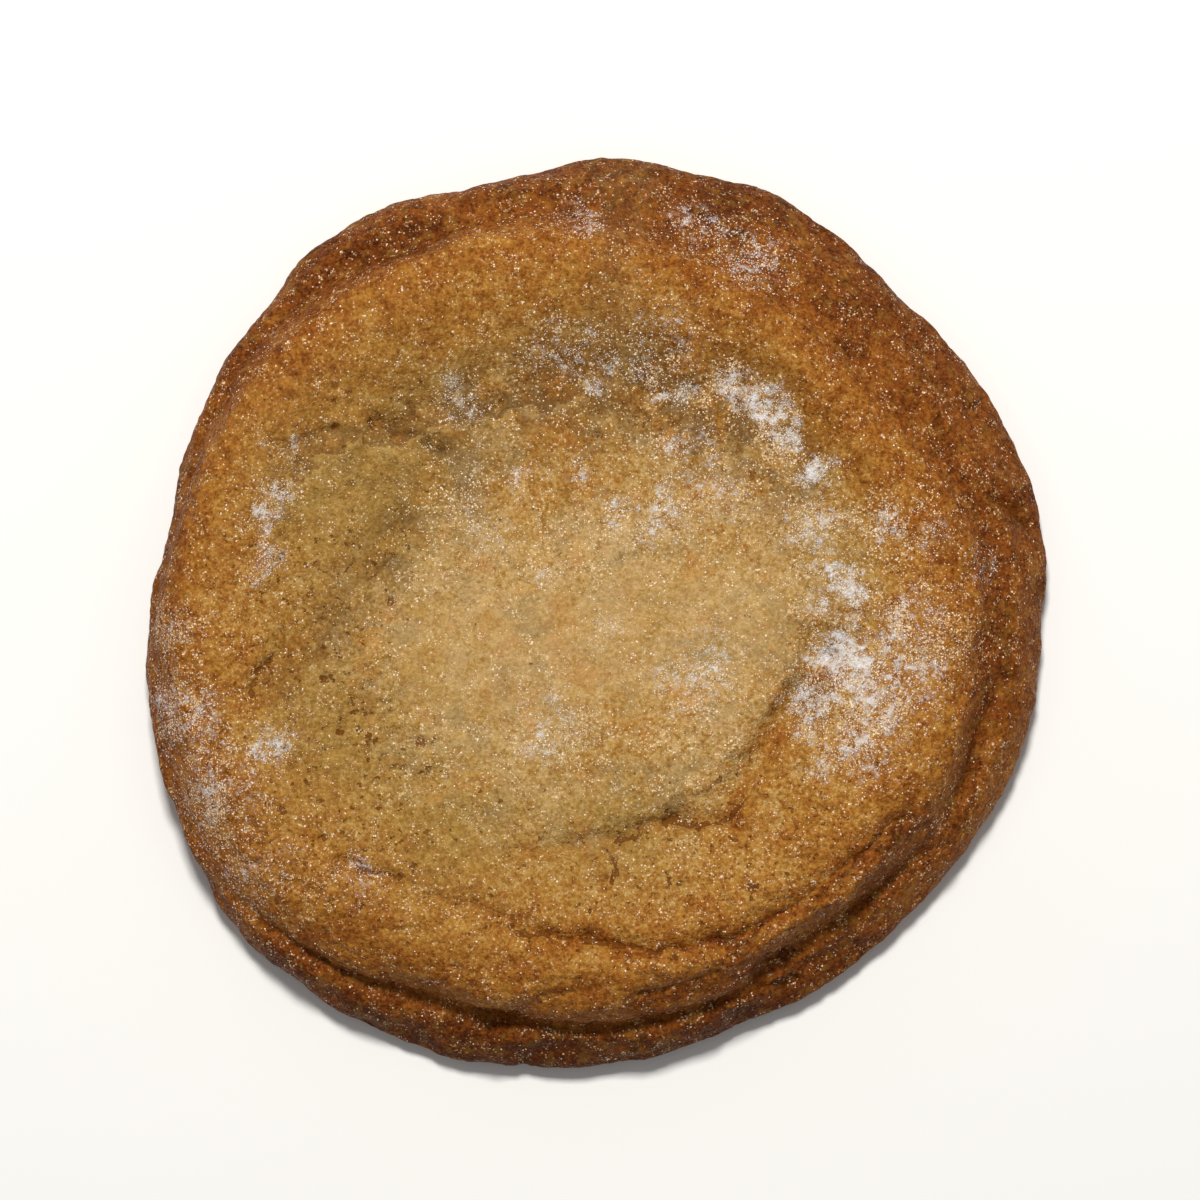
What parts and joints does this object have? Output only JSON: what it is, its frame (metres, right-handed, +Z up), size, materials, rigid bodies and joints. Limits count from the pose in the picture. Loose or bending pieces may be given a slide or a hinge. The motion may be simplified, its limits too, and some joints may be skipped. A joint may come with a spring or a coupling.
{
  "type": "brown sugar cookie",
  "caption": "Round baked cookie with a raised soft rim, a shallow dip round a risen middle, a low spread skirt and a flat underside.",
  "frame": {"origin": "middle of the bounding box at the flat underside", "axes": "+Z up through the crust, +X to the right and +Y to the top of the cookie as seen from above"},
  "size_m": [0.0902, 0.0912, 0.0132],
  "materials": {
    "baked_crust": null
  },
  "bodies": {
    "root": {"cookie": "baked_crust"}
  },
  "joints": []
}
